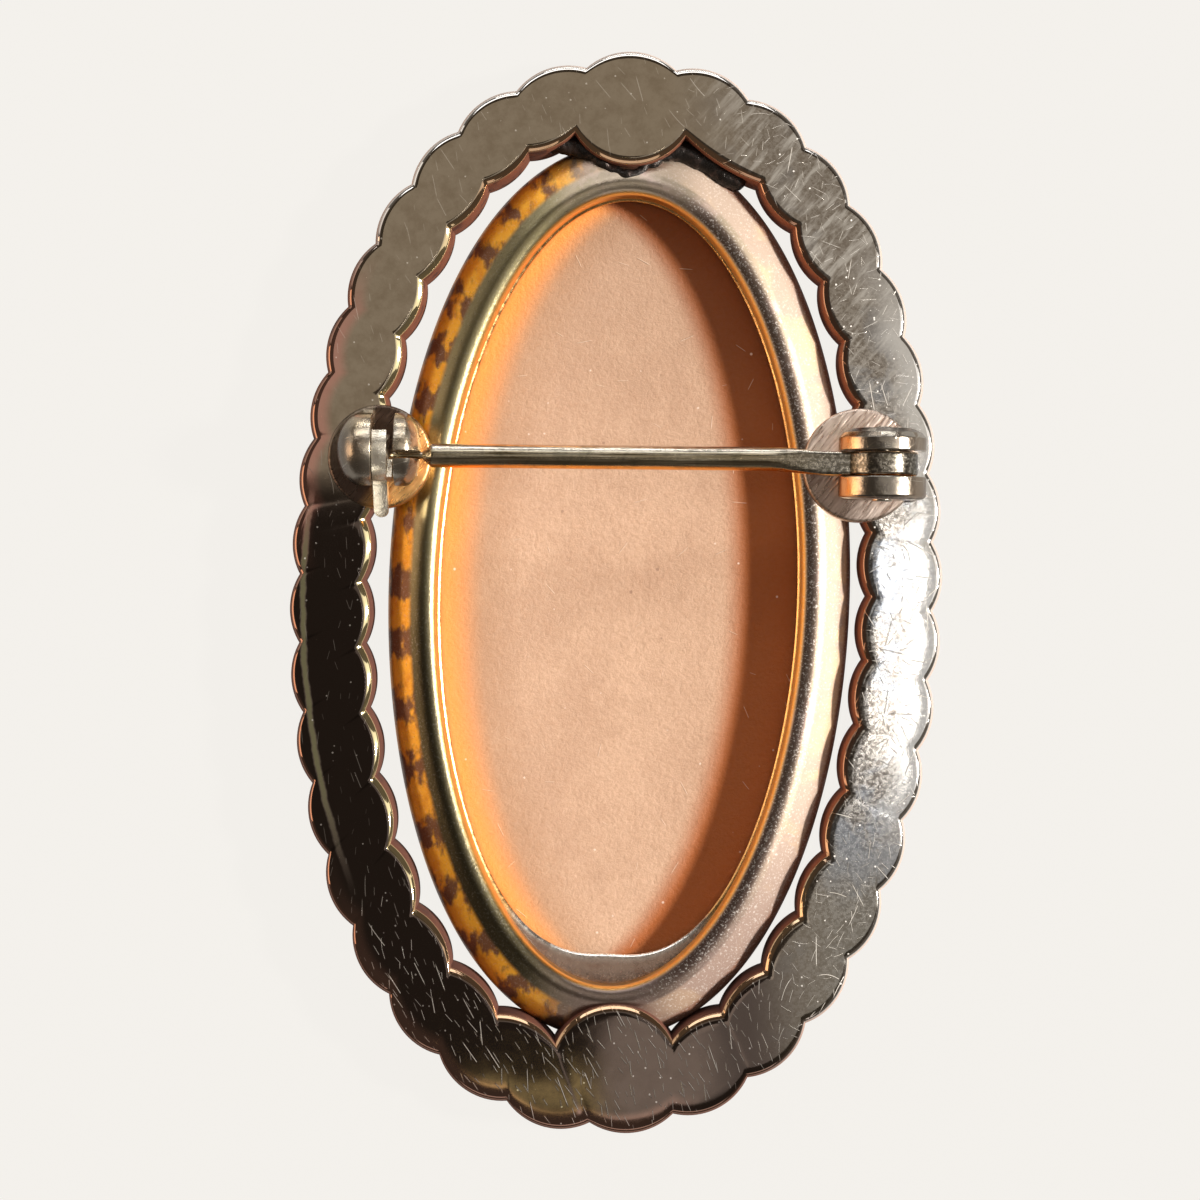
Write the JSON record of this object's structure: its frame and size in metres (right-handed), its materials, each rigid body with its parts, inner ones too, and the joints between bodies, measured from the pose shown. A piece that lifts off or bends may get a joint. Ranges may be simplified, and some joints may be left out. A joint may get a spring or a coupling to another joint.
{
  "type": "oval brooch with a plain back",
  "caption": "Open-backed oval brooch: scalloped frame and bezel round an oval centre piece, with a hinged pin and a turning safety catch.",
  "frame": {"origin": "middle of the base, at the level that the front of the bezel rests on", "axes": "+Y towards the upper end along the brooch's length, +X towards the hinge, +Z out of the back where the pin is"},
  "size_m": [0.029, 0.0481, 0.0076],
  "materials": {
    "gold_filled": "worn mirror polish with fine scratches",
    "bright_gold": "polished wire and turned lever",
    "tan_shell": "matte back with fine grain"
  },
  "bodies": {
    "brooch": {"setting": "gold_filled", "centre_piece": "tan_shell", "rivet": "gold_filled"},
    "pin": {"pin_stem": "bright_gold"},
    "lever": {"catch_lever": "bright_gold"}
  },
  "joints": [
    {"name": "pin_lift", "type": "hinge", "parent": "brooch", "child": "pin", "pos_m": [0.01145, 0.0062, 0.00565], "axis": [-0.0206, 0.9998, 0], "range_deg": [0, 85]},
    {"name": "lever_turn", "type": "hinge", "parent": "brooch", "child": "lever", "pos_m": [-0.01055, 0.006, 0.00565], "axis": [-0.9998, -0.0206, 0], "range_deg": [0, 105]}
  ]
}
